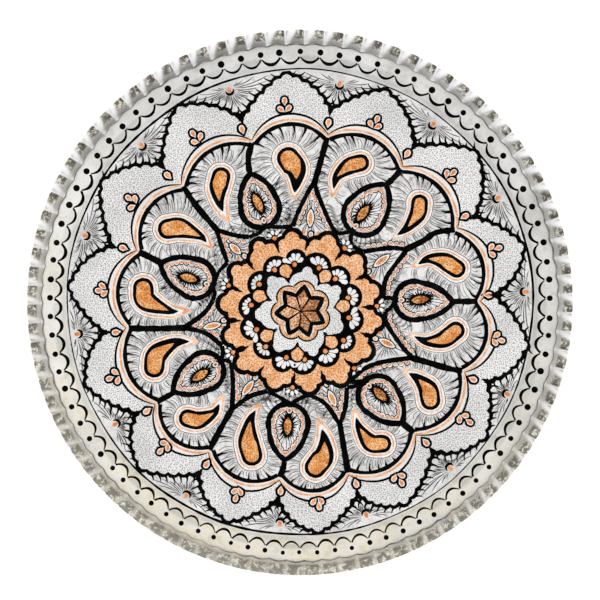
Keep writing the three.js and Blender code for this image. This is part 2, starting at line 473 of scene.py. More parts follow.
def lacquerFinish():
    f = Finish("blackLacquer")
    grain = f.noise(900, 4, 0.7)
    cloud = f.noise(140, 3, 0.6)
    colour = f.mix(cloud.between(0.45, 0.75), (0.0012, 0.0012, 0.0012), (0.006, 0.0055, 0.005))
    return f.surface(Base_Color=colour, Metallic=0.0, Roughness=0.55 + grain * 0.2,
                     Specular_IOR_Level=0.02, Normal=f.bump(grain, 0.00012, 0.5))


def greyLineFinish(name, dark, light):   # shallow chased lines that the lacquer only greys
    f = Finish(name)
    cloud = f.noise(260, 4, 0.7)
    colour = f.mix(cloud.between(0.35, 0.7), dark, light)
    return f.surface(Base_Color=colour, Metallic=0.4, Roughness=0.5 + cloud * 0.2,
                     Normal=f.bump(cloud, 0.0001, 0.4))


def shadedTinFinish():   # the shaded side of a chased leaf
    f = Finish("shadedTin")
    cloud = f.noise(300, 4, 0.7)
    colour = f.mix(cloud.between(0.35, 0.68), (0.62, 0.615, 0.60), (0.32, 0.315, 0.30))
    return f.surface(Base_Color=colour, Metallic=1.0, Roughness=0.42 + cloud * 0.15,
                     Normal=f.bump(cloud, 0.0001, 0.5))


def undersideFinish():
    f = Finish("agedCopper")
    hammer = f.cells(85, 0.85, "SMOOTH_F1")
    cloud = f.noise(16, 5, 0.62)
    grain = f.noise(500, 5, 0.7)
    colour = f.mix(cloud.between(0.32, 0.68), (0.46, 0.22, 0.13), (0.20, 0.095, 0.06))
    colour = f.mix(grain.between(0.55, 0.75) * 0.5, colour, (0.14, 0.07, 0.045))
    colour = f.mix(hammer.between(0.1, 0.5) * 0.3, colour, (0.70, 0.36, 0.20))
    return f.surface(Base_Color=colour, Metallic=1.0, Roughness=0.34 + cloud * 0.2 + grain * 0.08,
                     Normal=f.bump(hammer + grain * 0.05, 0.0009, 0.7))


tin = tinFinish()
wallTin = wallTinFinish()
shadedTin = shadedTinFinish()
fieldTin = stippledTinFinish()
raisedTin = plainTinFinish()
lacquer = lacquerFinish()
greyLine = greyLineFinish("greyChasing", (0.03, 0.03, 0.029), (0.16, 0.16, 0.155))
# painted shade along the crease where the wall meets the lip, partly lacquer left in it
creaseShadeAndLacquer = greyLineFinish("creaseShadeAndLacquer", (0.12, 0.12, 0.115), (0.42, 0.42, 0.41))
underside = undersideFinish()

copperColours = {   # bright, dark and speckle colours, punch marks to the metre, depth of the speckle
    "paleCopper": ((1.0, 0.64, 0.38), (0.88, 0.47, 0.21), (0.42, 0.12, 0.035), 780, 0.9),
    "dropCopper": ((1.0, 0.58, 0.26), (0.78, 0.32, 0.09), (0.36, 0.09, 0.02), 820, 0.9),
    "darkCopper": ((0.98, 0.58, 0.34), (0.56, 0.24, 0.10), (0.04, 0.016, 0.01), 760, 0.95),
    "burntCopper": ((0.95, 0.45, 0.15), (0.42, 0.14, 0.04), (0.04, 0.014, 0.008), 700, 0.95),
    "redCopper": ((1.0, 0.44, 0.16), (0.84, 0.26, 0.07), (0.40, 0.09, 0.03), 900, 0.5),
    "lineCopper": ((1.0, 0.70, 0.48), (0.88, 0.38, 0.14), (0.55, 0.20, 0.07), 900, 0.5),
}
paleCopper, dropCopper, darkCopper, burntCopper, redCopper, lineCopper = [
    copperFinish(name, *colours) for name, colours in copperColours.items()]
print("finishes made")


# the dish

dish = {
    # radius and height of the tin's face, from the floor's edge to the crimped lip
    "wall": [(127, 0), (128.6, 0.05), (130.6, 0.45), (134, 1.8), (138, 3.4), (140.8, 4.8), (142.6, 6.3),
             (144.2, 8.1), (146, 9.7), (148, 10.7), (149.87, 11.1)],
    "floorRings": 58,
    "crimps": 89,
    "stepsPerCrimp": 12,
    "pleatStart": 142.4,
    "pleatDepth": 1.7,
    "crownHeight": 0.5,
    "pleatPull": 0.45,
    "drift": 2.3,            # degrees by which the crimps crowd towards the bottom edge
    "sheetThickness": 0.95,
    "flattened": 0.7,        # how far the crimps along the bottom edge are beaten flat
    "edgeInset": 0.085,      # keeps the crowns of the crimps inside the sheet's own box
    "tinThickness": 0.22,
}

wallFace = [(p.x, p.y + floorTop) for p in smoothPath(dish["wall"], 3)]


def heightAt(radius):   # height of the tin's face at a radius
    if radius <= wallFace[0][0]:
        return floorTop
    for (r0, z0), (r1, z1) in zip(wallFace, wallFace[1:]):
        if radius <= r1:
            return z0 + (z1 - z0) * (radius - r0) / (r1 - r0)
    return wallFace[-1][1]


def angleFor(turn):   # the crimps are even in turn, and crowd towards the bottom edge in angle
    angle = turn
    for i in range(3):
        angle = turn - math.radians(dish["drift"]) * math.cos(angle)
    return angle


def pleatAt(radius, angle):
    # share of the way out from the pleat's start, how near its fold is (1 on it, 0 in the block),
    # how far into the block, and the clockwise phase from one fold to the next
    turn = angle + math.radians(dish["drift"]) * math.cos(angle)
    pitch = 2 * math.pi / dish["crimps"]
    number = round(turn / pitch)
    vary = random.Random(number % dish["crimps"])
    strength = vary.uniform(0.75, 1.15) * (1 - dish["flattened"] * nearBottom(angle) ** 3)
    across = abs(turn - number * pitch)
    out = min(1.0, max(0.0, (radius - dish["pleatStart"]) / (trayRadius - dish["pleatStart"])))
    fold = max(0.0, 1 - across * radius / (0.55 + 1.25 * out))
    block = min(1.0, across / (pitch / 2))
    phase = (0.02 - turn / pitch) % 1
    return out, fold, block, strength, phase


def crimped(radius, angle):
    # how far the lip sinks and is pulled in: narrow pleats that open outwards, round blocks between
    if radius < dish["pleatStart"]:
        return 0.0, 0.0
    out, fold, block, strength = pleatAt(radius, angle)[:4]
    crown = dish["crownHeight"] * out * math.sin(math.pi * block / 2)
    pull = dish["pleatPull"] * min(1.0, strength) * out * fold
    return dish["pleatDepth"] * strength * out ** 0.7 * fold - crown, pull


def spunDish(profile, steps):
    bm = bmesh.new()
    verts = [bm.verts.new((radius, 0, height)) for radius, height in profile]
    edges = [bm.edges.new(pair) for pair in zip(verts, verts[1:])]
    bmesh.ops.spin(bm, geom=verts + edges, cent=(0, 0, 0), axis=(0, 0, 1), angle=2 * math.pi,
                   steps=steps, use_merge=True, use_duplicate=False)
    for vert in bm.verts:
        radius = math.hypot(vert.co.x, vert.co.y)
        angle = angleFor(math.atan2(vert.co.y, vert.co.x))
        sink, pull = crimped(radius, angle)
        vert.co.x = (radius - pull) * math.cos(angle)
        vert.co.y = (radius - pull) * math.sin(angle)
        vert.co.z -= sink
    return bm


layerStep = 0.065   # height of one layer of the pattern over the next


def layer(n):   # how high that layer lies over a place on the tray
    return lambda place: heightAt(place.length) + layerStep * n


def makeSheet():
    drop = dish["tinThickness"] + 0.03
    top = [(0, floorTop - drop)] + [(r, z - drop) for r, z in wallFace]
    lower = dish["sheetThickness"] + drop
    slope = [(r - 0.35 * (z - floorTop) / 10, z - lower) for r, z in wallFace]
    edge = [(trayRadius - dish["edgeInset"], wallFace[-1][1] - drop - 0.45)]
    floorRings = [(r, floorTop - lower) for r in (30, 60, 90, 110)]
    bottom = [(0, 0)] + [(r, 0) for r, z in floorRings] + [(r, max(z, 0)) for r, z in slope]
    bm = spunDish(top + edge + bottom[::-1], dish["crimps"] * dish["stepsPerCrimp"])
    addPiece("hammeredCopperSheet", bm, underside, ["copper_sheet"])


makeSheet()
print("copper sheet made")


# the petal border and the fans outside it

petalBorder = {
    "tipTurns": [14.0, 40.2, 67.8, 93.4, 121.8, 148.6, 175.9, 200.9, 226.0, 251.5, 274.6, 297.8, 323.9,
                 349.0],
    "tipRadii": [127.6, 128.0, 126.6, 126.8, 127.6, 128.2, 128.0, 126.9, 127.6, 127.6, 127.6, 126.0, 127.0,
                 128.2],
    "valleys": [(106.0, 4.2), (95.2, 46.8), (62.4, 85.4), (16.6, 105.0), (-32.2, 100.4), (-75.6, 74.6),
                (-102.8, 30.6), (-106.6, -16.6), (-89.2, -60.9), (-55.0, -93.6), (-11.8, -107.6),
                (31.6, -104.8), (72.6, -81.4), (102.6, -43.2)],
    "scallops": 5,
    "sideBulges": (3.2, 1.6),
    "scallopBulge": 1.3,
    "tipHalfWidth": 3.6,
    "tipBulge": 2.4,
    "halfWidth": 1.2,
    "thornPitch": 4.3,
    "thornLength": (3.4, 5.0),
    "thornHalfWidth": (0.5, 0.68),
}


def petalCorners(k):
    # corners of petal k from its first valley over the tip to the next valley
    first = vec(petalBorder["valleys"][k])
    last = vec(petalBorder["valleys"][(k + 1) % 14])
    turn, radius = petalBorder["tipTurns"][k], petalBorder["tipRadii"][k]
    spread = math.degrees(petalBorder["tipHalfWidth"] / radius)
    before = onCircle(turn - spread, radius - 2)
    after = onCircle(turn + spread, radius - 2)
    rising, falling = petalBorder["sideBulges"]
    scallops = petalBorder["scallops"]
    return arc(first, before, rising, scallops), arc(after, last, falling, scallops)


petalPaths = []
for k in range(14):
    up, down = petalCorners(k)
    bump = petalBorder["scallopBulge"]
    upPath = arcChain(up, [bump] * (len(up) - 1), 4)
    over = arc(up[-1], down[0], petalBorder["tipBulge"], 6)
    downPath = arcChain(down, [bump] * (len(down) - 1), 4)
    petalPaths.append(upPath + over[1:] + downPath[1:])

fans = {
    "turns": [2.7, 27.8, 53.2, 79.7, 108.4, 135.3, 162.7, 188.1, 213.4, 239.5, 264.8, 287.3, 312.2, 336.1],
    "radii": [124.6, 123.4, 122.8, 122.4, 123.6, 123.2, 124.4, 124.2, 122.2, 124.0, 122.6, 122.8, 123.6,
              125.2],
    "rays": 31,
    "spread": 116,
    "rayWidths": (0.12, 0.22, 0.3, 0.26, 0.12),
    "dotRadius": 1.1,
    "bowRadius": 2.2,
    "bowHalfTurn": 105,
}
fanSpots = [onCircle(t, r) for t, r in zip(fans["turns"], fans["radii"])]
floorLine = [onCircle(360 * i / 120, floorEdge - 0.6) for i in range(121)]


def makePetalBorder():
    bm = bmesh.new()
    for path in petalPaths:
        count = len(path)
        widths = []
        for i in range(count):
            end = min(i, count - 1 - i) / (count / 2)
            near = petalBorder["halfWidth"] * (1.2 - 0.4 * min(end * 3, 1))
            widths.append(near * chance.uniform(0.8, 1.2))
        bead(bm, wobbled(path, 0.12), widths, layer(2), 0.2)
    for k, path in enumerate(petalPaths):   # thorns part the lobes at the border of the fans
        roots = evenPath(path, petalBorder["thornPitch"])
        for i, (root, side) in enumerate(zip(roots, sidewaysOf(roots))):
            rising = i < len(roots) / 2
            fan = fanSpots[k if rising else (k + 1) % 14]
            outward = -side.normalized()
            way = (outward * 1.2 + (fan - root).normalized()).normalized()
            neighbour = petalPaths[k - 1 if rising else (k + 1) % 14]
            room = reach(root + outward * 0.5, way, [floorLine, neighbour], 12)
            length = min(chance.uniform(*petalBorder["thornLength"]), room * 0.6)
            if length < 1.4 or i in (0, len(roots) - 1):
                continue
            bend = chance.uniform(0.3, 0.7) * (1 if rising else -1)
            half = chance.uniform(*petalBorder["thornHalfWidth"])
            bead(bm, arc(root, root + way * (length + 0.8), bend, 5),
                 [half * share for share in (2.0, 1.25, 0.9, 0.75, 0.5, 0.2)], layer(2), 0.1)
    for spot in petalBorder["valleys"]:   # a heavy point at each valley
        spot = vec(spot)
        tick(bm, spot * 1.03, spot * 0.975, 1.6, layer(2), rise=0.2)
    addPiece("petalBorderLacquer", bm, lacquer, ["lacquer_petal_border"])


makePetalBorder()
print("petal border made")


# the lobed medallion line

medallion = {
    "valleys": [(99.1, 0.6), (86.5, 40.7), (56.5, 74.5), (15.4, 92.1), (-26.5, 89), (-65.2, 64.5),
                (-89.7, 28.6), (-95.5, -14), (-79.6, -56), (-50.2, -82.3), (-11.3, -97.5), (26.7, -94.8),
                (63.6, -72.7), (90.3, -38.3)],
    "copperBulge": 10.3,
    "fineBulge": 13.2,
    "lineInset": 2.5,
    "copperHalfWidth": 0.6,
    "fineHalfWidth": 0.56,
    "lineHalfWidth": 1.2,
}
lobeCorners = [vec(p) for p in medallion["valleys"]] + [vec(medallion["valleys"][0])]


def lobes(bulge, spread=1.0, steps=16):
    corners = [p * spread for p in lobeCorners]
    return [arc(a, b, bulge, steps) for a, b in zip(corners, corners[1:])]


copperLobes = lobes(medallion["copperBulge"])
fineLobes = lobes(medallion["fineBulge"], 1.004)
blackLobes = [movedPath(path, -medallion["lineInset"]) for path in copperLobes]


def makeMedallion():
    bm = bmesh.new()
    for path in fineLobes:
        widths = tapered(len(path), medallion["fineHalfWidth"] * 1.15, 0.5, 0.5, 0.4)
        bead(bm, wobbled(path, 0.08), widths, layer(1), 0.08)
    addPiece("medallionFineLine", bm, lacquer, ["lacquer_medallion_fine_line"])
    bm = bmesh.new()
    for path in copperLobes:
        bead(bm, path, medallion["copperHalfWidth"], layer(1), 0.12)
    addPiece("medallionCopperLine", bm, lineCopper)
    bm = bmesh.new()
    for path in blackLobes:
        widths = [w * chance.uniform(0.88, 1.12) for w in
                  tapered(len(path), medallion["lineHalfWidth"], 1.0, 1.0, 0.4)]
        bead(bm, path, widths, layer(2), 0.12)
    addPiece("medallionLine", bm, lacquer, ["lacquer_medallion_line"])


makeMedallion()


# the heavy dividers between paisleys, eyes and kites

dividers = {
    "heavy": [
        [(56, 73.5), (52, 69), (47, 64)], [(-26.5, 88), (-28.5, 80), (-28, 72)], [(98, 0.5), (84, 0.5)],
        [(63, -72), (57, -67)], [(-11, -96.5), (-9.5, -92), (-8.5, -88)], [(-79, -55), (-69, -49.5)],
        [(-89, 28), (-77, 22)],
        [(15, 91), (12, 80), (8, 66)], [(85.5, 40), (75, 38.5), (68, 34), (58, 29)],
        [(89.5, -38), (80, -36), (70, -33), (61, -30.5)], [(26.5, -94), (24.5, -82), (22, -67)],
        [(-50, -81.5), (-44, -70), (-37, -58)], [(-94.5, -14.3), (-80, -14.5), (-63, -14)],
        [(-64.5, 64), (-57, 53), (-45, 39)],
    ],
    "heavyHalfWidth": 1.7,
    "links": [   # per eye: two short lines that run to its inner end and close the paisleys' cells
        ([(-28, 36), (-23, 38)], [(-4, 42), (-11, 41.5)]),
        ([(20, 38), (24, 38.3)], [(35, 28), (30, 30.5), (28, 34)]),
        ([(46, 2), (49, 2.5)], [(47, -5), (50, -3)]), ([(27, -44), (31, -43.8)], [(26, -47), (31, -46)]),
        ([(5, -51), (0, -53)], [(-18, -49), (-12, -52)]),
        ([(-38, -33), (-41, -32)], [(-43, -24), (-42.5, -28)]),
        ([(-48, 1), (-47, 5)], [(-40, 22), (-45, 16.5)]),
    ],
    "linkHalfWidth": 1.15,
    "kites": [   # left branch, tip, right branch
        ([(-4, 42), (-1, 50), (4, 60), (8, 67)], [(20, 38), (17, 43), (13, 52), (9, 62), (8, 67)]),
        ([(46, 2), (47, 12), (52, 20), (59, 29)], [(35, 28), (45, 29.5), (52, 30), (59, 29)]),
        ([(27, -44), (35, -37), (45, -33), (62, -30.5)], [(47, -5), (48, -12), (56, -24), (62, -30.5)]),
        ([(26, -47), (25, -58), (22, -67.5)], [(5, -51), (14, -56), (22, -67.5)]),
        ([(-18, -49), (-28, -52), (-37.5, -59)], [(-38, -33), (-37, -45), (-37.5, -59)]),
        ([(-43, -24), (-52, -17), (-64, -14)], [(-48, 1), (-53, -6), (-64, -14)]),
        ([(-40, 22), (-43, 30), (-46, 40)], [(-28, 36), (-36, 37), (-46, 40)]),
    ],
    "kiteHalfWidth": 1.3,
}

heavyPaths = [smoothPath(points, 5) for points in dividers["heavy"]]
kitePaths = [[smoothPath(side, 6) for side in pair] for pair in dividers["kites"]]
kiteSides = [path for pair in kitePaths for path in pair]

eyes = {
    # middle, radius of the outline, its tip, and the two ends of the lens
    "list": [
        ((-22, 52), 10.7, (-27.5, 71), (-26, 60.5), (-20.5, 49)),
        ((35.5, 48.5), 11.6, (47.5, 65), (31, 44.3), (38.5, 54)),
        ((63, 1), 10.7, (84.5, 0), (60.5, 0.8), (72, 2.2)),
        ((43, -51.5), 11, (56.5, -66.5), (40, -46.5), (48.5, -55)),
        ((-6.5, -67), 11, (-8.5, -87), (-6.5, -62.5), (-7, -74)),
        ((-52.5, -38), 10.5, (-70, -49), (-60, -43.5), (-50, -37)),
        ((-58, 13), 10.8, (-77, 21.5), (-67, 15), (-56, 12)),
    ],
    "sideBulge": 2.2,
    "openingTurn": 68,
    "halfWidth": 1.5,
    "dashInset": 2.9,
    "dashPitch": 3.1,
    "rays": 34,
    "lashes": 30,
    "lensRing": (3.3, -0.6),    # half width, and how far its ends are drawn in
    "lensCore": (2.1, 1.0),
    "lashOval": (6.2, 3.4),
    "dropInset": 3.6,
    "dropSize": 2.2,
}


def eyePath(middle, radius, tip):
    middle, tip = vec(middle), vec(tip)
    towards = math.degrees(math.atan2(tip.y - middle.y, tip.x - middle.x))
    opening = eyes["openingTurn"]
    first = onCircle(towards + opening, radius, middle)
    last = onCircle(towards - opening, radius, middle)
    around = [onCircle(towards + opening + (360 - 2 * opening) * i / 22, radius, middle) for i in range(23)]
    return arc(tip, first, eyes["sideBulge"], 7) + around[1:] + arc(last, tip, eyes["sideBulge"], 7)[1:]


eyePaths = [eyePath(*eye[:3]) for eye in eyes["list"]]
linkPaths = []
for eye, pair in zip(eyes["list"], dividers["links"]):
    innerEnd = vec(eye[0]) + (vec(eye[0]) - vec(eye[2])).normalized() * eye[1]
    linkPaths += [smoothPath(points + [innerEnd], 5) for points in pair]


# the rosette's outlines, counter-clockwise

rosette = {
    "middle": (0.5, -4.9),
    # each lobe has a round crown between two shoulders: valley, crown's start, crown's end
    "outer": [(3.5, 30.5), (0, 35), (-8.5, 35), (-12, 29.5), (-19, 32), (-25.3, 28), (-26.5, 19.5),
              (-32, 20), (-36.5, 13.5), (-33.5, 6.5), (-40.5, 4), (-40, -5.5), (-34.5, -10),
              (-38.5, -14), (-37, -23), (-30, -25), (-33.5, -30), (-28.5, -37), (-21, -36.5),
              (-18.5, -42), (-9.5, -45), (-3.3, -40.7), (0.5, -46), (9.5, -45), (12, -39.5),
              (18.5, -43), (26.3, -39), (25.5, -32.5), (34, -31), (37, -22.5), (35, -17.5),
              (41.5, -14.5), (41, -7), (36, -2.7), (41, 1.5), (38.5, 10.5), (32, 13), (34.5, 20),
              (27.5, 25), (20.5, 24.5), (20, 32), (11, 34.5), (3.5, 30.5)],
    "shoulderBulge": 1.9,
    "crownBulge": 4.2,
    "outerHalfWidth": 1.25,
    "scallops": [(3.5, 25.5), (-8, 24), (-20.5, 17.5), (-27.5, 5), (-31, -9), (-25.5, -21),
                 (-15.5, -31), (-5, -36.5), (9.5, -34), (22, -27.5), (29.5, -17), (31.5, -3),
                 (27.5, 10.5), (17.5, 19.5), (3.5, 25.5)],
    "scallopBulge": 4.8,
    # white field: inner point, then the two corners of the lobe's crown
    "field": [(10.5, 10.5), (8, 16.5), (0.2, 17.5), (-6.5, 12), (-12.5, 14.5), (-18.5, 9), (-17, 1.5),
              (-22.5, -2), (-22, -11.5), (-14, -15.5), (-15.5, -22), (-8, -27), (-1.5, -23.5),
              (3.5, -28), (11, -26), (14, -17.5), (19, -18.3), (23.3, -9.5), (20, -2.5),
              (22.5, 3.5), (17.5, 9.8), (10.5, 10.5)],
    "fieldShoulder": 1.3,
    "fieldCrown": 3.7,
    "fieldHalfWidth": 1.0,
    "shellDots": [(-14, 18), (-3, 21), (10.5, 19), (19.5, 13), (26.5, 2.5), (27, -8.5), (24, -21),
                  (14, -27), (2.5, -31.5), (-7.5, -30.5), (-19, -24.5), (-24, -15), (-27, -1.5),
                  (-22.5, 10)],
    "cornerDots": [(-14, 35.3), (24.5, 30), (42.3, -2), (29.7, -36.3), (-4, -46.8), (-36.8, -27.5),
                   (-39.2, 9.3)],
    "drops": [(-8, 17.5), (14, 14.5), (24, -2), (17.5, -22), (-1.5, -29), (-18.5, -18.5), (-22.5, 3.5)],
    "dropRadius": 3.1,
    "starTurns": [82, 30, 334, 288, 242, 185, 131],
    "kiteTip": 11.9,
    "kiteShoulder": 8.0,
    "starTip": 15.2,
    "starValley": 10.2,
    "lobeValley": 11.6,
    "lobeBulge": 4.9,
}
heart = vec(rosette["middle"])


def triple(points, shoulder, crown, steps=6):
    corners = [vec(p) for p in points]
    bulges = [shoulder, crown, shoulder] * (len(points) // 3)
    return arcChain(corners, bulges, steps)


ringEdge = triple(rosette["outer"], rosette["shoulderBulge"], rosette["crownBulge"])
shellEdge = arcChain([vec(p) for p in rosette["scallops"]], [rosette["scallopBulge"]] * 14, 9)
fieldEdge = triple(rosette["field"], rosette["fieldShoulder"], rosette["fieldCrown"])


def makeDividers():
    bm = bmesh.new()
    lines = [(path, dividers["heavyHalfWidth"]) for path in heavyPaths]
    lines += [(path, dividers["kiteHalfWidth"]) for path in kiteSides]
    lines += [(path, dividers["linkHalfWidth"]) for path in linkPaths]
    for path, halfWidth in lines:
        widths = [halfWidth * chance.uniform(0.85, 1.15) for i in range(len(path))]
        bead(bm, path, widths, layer(2), 0.12, flat)
    addPiece("cellDividers", bm, lacquer, smooth=False)


makeDividers()
print("medallion and dividers made")


# paisleys

paisleys = {
    # head, middle, tail of the copper, tail of the black outline, tail of the copper line, head radius
    "list": [
        ((33.5, 77), (27, 75), (20.5, 69.5), (18.5, 62.5), (17.5, 57.5), 2.8),
        ((66, 55), (65, 49), (59.5, 41.5), (53.5, 37), (50.5, 36.5), 2.7),
        ((86.5, 18.5), (79, 23), (71, 24), (65, 21), (61, 19.5), 3),
        ((86, -15.5), (79, -20.5), (70, -21.5), (63, -18.8), (59.5, -16.5), 3),
        ((72, -54), (70.5, -48), (65.5, -42.5), (60, -39), (56, -37.5), 3.5),
        ((45.5, -78), (39, -77.5), (33, -69.5), (31, -63.5), (30, -58), 3),
        ((8.5, -91), (13, -84.5), (13.6, -77), (12.2, -70), (9.5, -63.5), 4),
        ((-26.5, -84.5), (-28.5, -76), (-27.5, -65.5), (-24.5, -59.5), (-21, -56), 3.8),
        ((-62, -64), (-56, -65), (-47.5, -61), (-44.5, -56), (-42, -50.5), 3),
        ((-80.5, -36), (-79, -29), (-69.5, -22.5), (-61, -21.5), (-56, -22), 3.7),
        ((-86.5, 8), (-85, 1), (-72.5, -4.5), (-67, -5), (-60.5, -4), 3.7),
        ((-73, 40.5), (-66, 41), (-55, 36.5), (-51.5, 33), (-48, 29.5), 3.6),
        ((-43.5, 69.5), (-45, 63), (-44.5, 56), (-42.5, 50), (-39, 44), 3.2),
        ((-6.5, 79.5), (-2.5, 73.5), (-2, 68), (-3, 60.5), (-3.7, 56.5), 4.3),
    ],
    "outlineGrowth": 2.0,
    "gapGrowth": 2.75,
    "copperGrowth": 3.6,
    "bandGrowth": 4.7,
    "lineGrowth": 5.05,
    "hatchPitch": 1.25,
    "tickEvery": 3,
    "barbPitch": 2.3,
}


def makePaisleys():
    barriers = blackLobes + heavyPaths + kiteSides + eyePaths + linkPaths + [ringEdge]
    commaEdges = []
    lines, bands, coppers, hatch, shades, ticks = newMeshes(6)
    for number, entry in enumerate(paisleys["list"], 1):
        head, middle, tail, blackTail, lineTail, radius = entry
        long = [head, middle, tail, blackTail, lineTail]
        path, widths = comma(lines, long, radius, paisleys["lineGrowth"], layer(0.7))
        comma(bands, long, radius, paisleys["bandGrowth"], layer(1.6))
        comma(coppers, long, radius, paisleys["copperGrowth"], layer(2.3))
        gapTail = [head, middle, tail, blackTail, vec(blackTail).lerp(vec(lineTail), 0.48)]
        comma(bands, gapTail, radius, paisleys["gapGrowth"], layer(3.0))
        bm = bmesh.new()
        comma(bm, long[:4], radius, paisleys["outlineGrowth"], layer(3.8))
        addPiece(f"paisleyOutline{number}", bm, lacquer, [f"lacquer_paisley_outline_{number}"],
                 smooth=False)
        bm = bmesh.new()
        comma(bm, long[:3], radius, 0, layer(4.6))
        addPiece(f"paisleyDrop{number}", bm, dropCopper, smooth=False)
        sideways = sidewaysOf(path)
        edge = [p + s * w for p, s, w in zip(path, sideways, widths)]
        edge += [p - s * w for p, s, w in zip(path, sideways, widths)][::-1]
        edge = evenPath(edge, paisleys["hatchPitch"])
        inside = path[len(path) // 3]
        local = closeTo(barriers, inside, 45)
        for i, (spot, side) in enumerate(zip(edge, sidewaysOf(edge))):
            out = side if side.dot(spot - inside) > 0 else -side
            lean = chance.uniform(-0.1, 0.1) + 0.12
            way = (out + leftOf(out) * lean).normalized()
            room = reach(spot + way * 0.4, way, local, 30) + 0.4
            if room < 1.6 or room > 20:
                continue
            heavy = i % paisleys["tickEvery"] == 0
            end = spot + way * (room - 0.9) * (1 if heavy else chance.uniform(0.55, 0.95))
            bend = room * chance.uniform(0.04, 0.12)
            start = spot + way * chance.uniform(0.1, 0.6)
            steps = arc(start, end, bend, 4)
            half = chance.uniform(0.24, 0.34) if heavy else chance.uniform(0.14, 0.22)
            bead(hatch, steps, tapered(5, half, 0.5, 0.9), layer(0.6), 0.05)
            outer = (spot + way * room).length > spot.length + 0.3 * room
            if heavy:   # the shaded side of a leaf, and the black stroke that parts it from the next
                aside = leftOf(way) * 0.55
                lens(shades, start + aside, spot + way * (room - 0.6) + aside, chance.uniform(0.5, 0.8),
                     layer(0.35), 0.03, bend, flat, 4)
                if room > 2.5:
                    root = spot + way * (room - 0.3)
                    far = chance.uniform(0.3, 0.5) if outer else chance.uniform(0.55, 0.8)
                    half = chance.uniform(0.6, 0.95) if outer else chance.uniform(0.32, 0.5)
                    tick(ticks, root, spot + way * room * far, half, layer(1.5), -bend)
        commaEdges.append(edge + edge[:1])
    cells = commaEdges + eyePaths + [left + right[::-1] for left, right in kitePaths] + [ringEdge]
    fence = closeTo(barriers + commaEdges, heart, 78)
    for path in heavyPaths + linkPaths + eyePaths + kiteSides:
        even = evenPath(path, paisleys["barbPitch"])
        for spot, side in zip(even, sidewaysOf(even)):
            for hand in (-1, 1):
                out = side.normalized() * hand
                inward = (heart - spot).normalized()
                way = (out + inward * 0.9).normalized()
                start = spot + way * 1.2
                if (spot - heart).length > 62 or any(insideLoop(spot + out * 2, loop) for loop in cells):
                    continue
                room = reach(start, way, closeTo(fence, start, 20), 12)
                if room < 2:
                    continue
                end = start + way * room * chance.uniform(0.5, 0.85)
                bend = room * 0.12 * hand
                bead(hatch, arc(start, end, bend, 4), tapered(5, 0.26, 0.8, 0.2), layer(0.6), 0.05)
                aside = leftOf(way) * 0.5
                lens(shades, start + aside, end + aside, 0.55, layer(0.35), 0.03, bend, flat, 4)
    addPiece("paisleyFineLines", lines, lacquer, smooth=False)
    addPiece("paisleyTinBands", bands, raisedTin, smooth=False)
    addPiece("paisleyCopperLines", coppers, lineCopper, smooth=False)
    addPiece("featherHatching", hatch, greyLine)
    addPiece("featherShades", shades, shadedTin, smooth=False)
    addPiece("featherTicks", ticks, lacquer)


makePaisleys()
print("paisleys made")


# eyes and kites

def dashesAlong(parts, path, inset, pitch):
    # small copper drops in white rims, half ringed in black, along the inside of an outline
    even = evenPath(path, pitch)
    for spot, side in list(zip(even, sidewaysOf(even)))[1:-1]:
        place = spot + side.normalized() * (inset + chance.uniform(-0.2, 0.2))
        ahead = (Vector((side.y, -side.x)) + side * chance.uniform(-0.4, 0.4)).normalized()
        for bm, half, wide, lift in zip(parts, (1.75, 1.45, 1.12), (1.5, 1.12, 0.68), (0.8, 1.5, 2.2)):
            half = half * chance.uniform(0.9, 1.1)
            shift = side.normalized() * (0.25 * math.copysign(1, inset) if half > 1.5 else 0)
            lens(bm, place - ahead * half + shift, place + ahead * half + shift, wide, layer(lift), 0.04, 0,
                 domed, 5)


def ringedDrop(parts, spot, away, size):
    # black ring, white rim and a copper core, pointed on the side it leans away from
    for bm, growth, lift in zip(parts, (1.0, 0.7, 0.4), (1.2, 2.1, 3.0)):
        disc(bm, spot, size * growth, layer(lift), 0.05, 14, 1.25, math.atan2(away.y, away.x))


